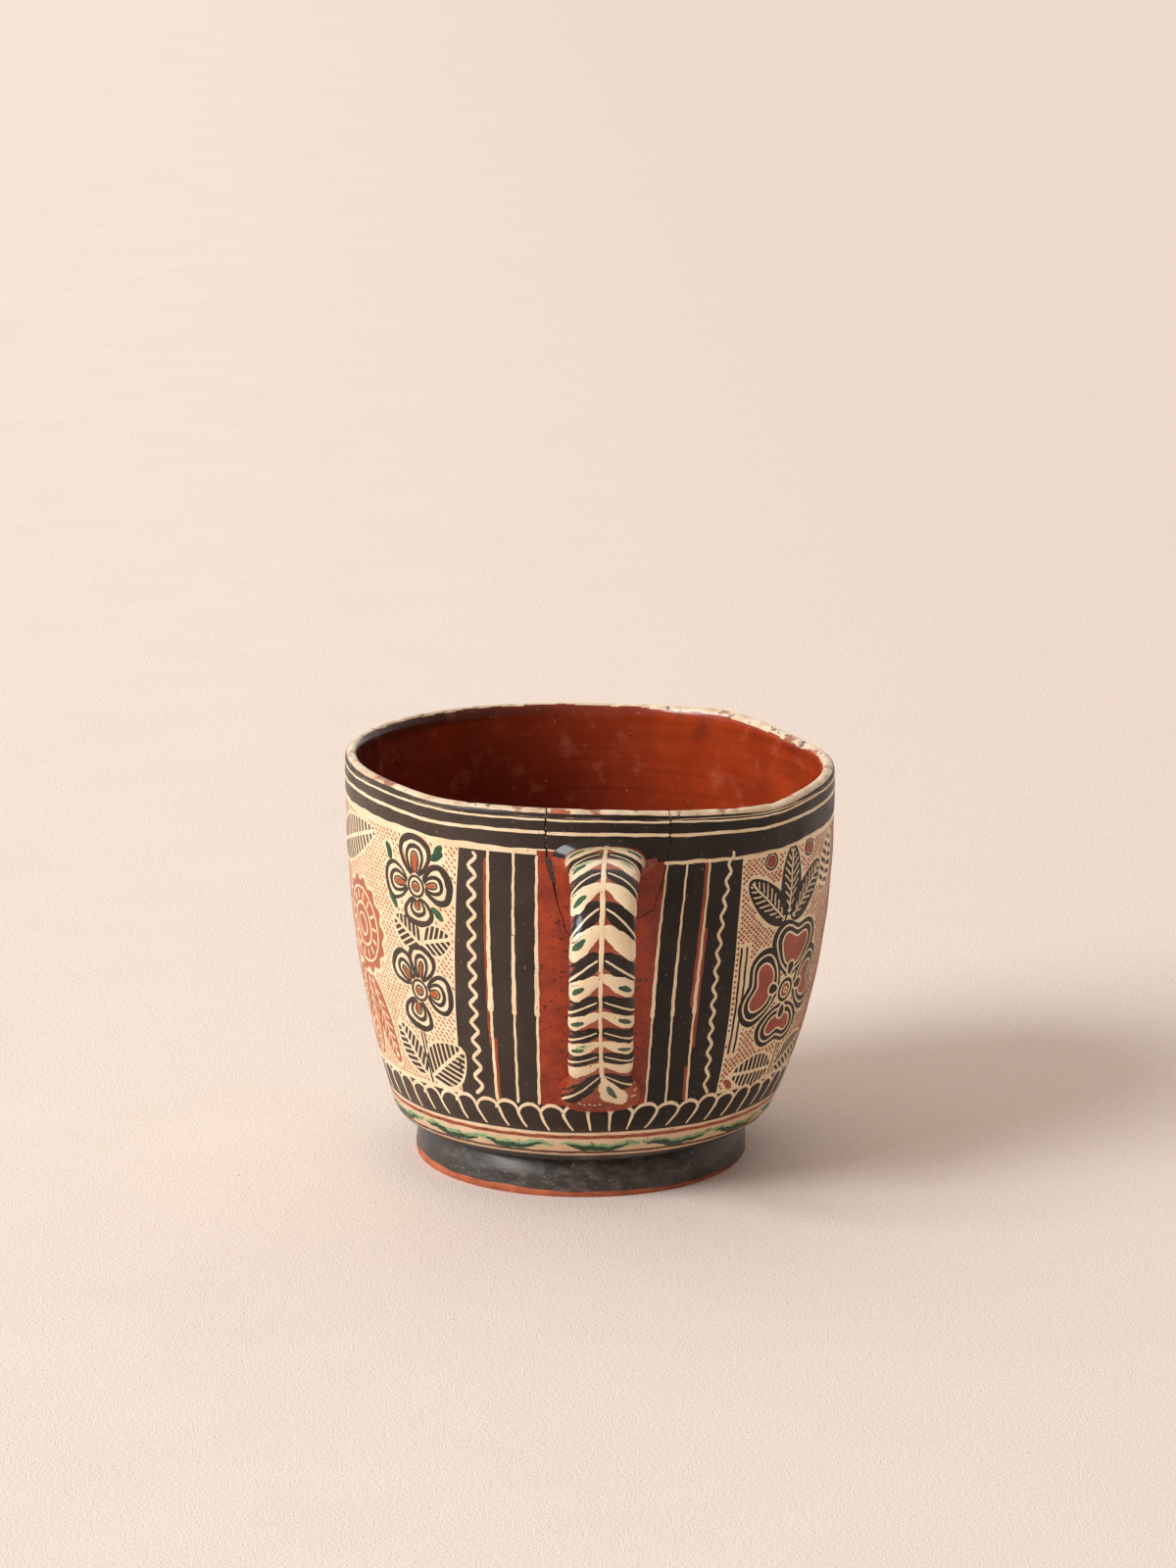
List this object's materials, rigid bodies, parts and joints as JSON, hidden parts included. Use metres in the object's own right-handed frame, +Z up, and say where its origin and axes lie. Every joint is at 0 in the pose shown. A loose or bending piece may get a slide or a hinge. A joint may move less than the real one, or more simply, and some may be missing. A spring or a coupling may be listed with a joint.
{
  "type": "ceramic teacup",
  "caption": "Hand-built earthenware teacup with a deep rounded bowl, a flat strap handle and a flared foot ring, for holding a hot drink.",
  "frame": {"origin": "on the table under the middle of the cup's outline, handle included", "axes": "+Z up, the handle towards -Y, +X to the right when the handle faces the viewer"},
  "size_m": [0.1002, 0.1282, 0.0856],
  "materials": {
    "clay": "burnished earthenware, satin",
    "red_slip": "burnished red slip, satin",
    "black_slip": "burnished black slip, satin and worn",
    "cream_slip": "burnished cream slip, satin",
    "green_slip": "brushed green stain, satin"
  },
  "bodies": {
    "root": {"bowl": "clay", "rim_sherd": "clay", "handle_strap": "red_slip", "upper_luting_coil": "black_slip", "lower_luting_coil": "red_slip", "foot_ring": "black_slip"}
  },
  "joints": []
}
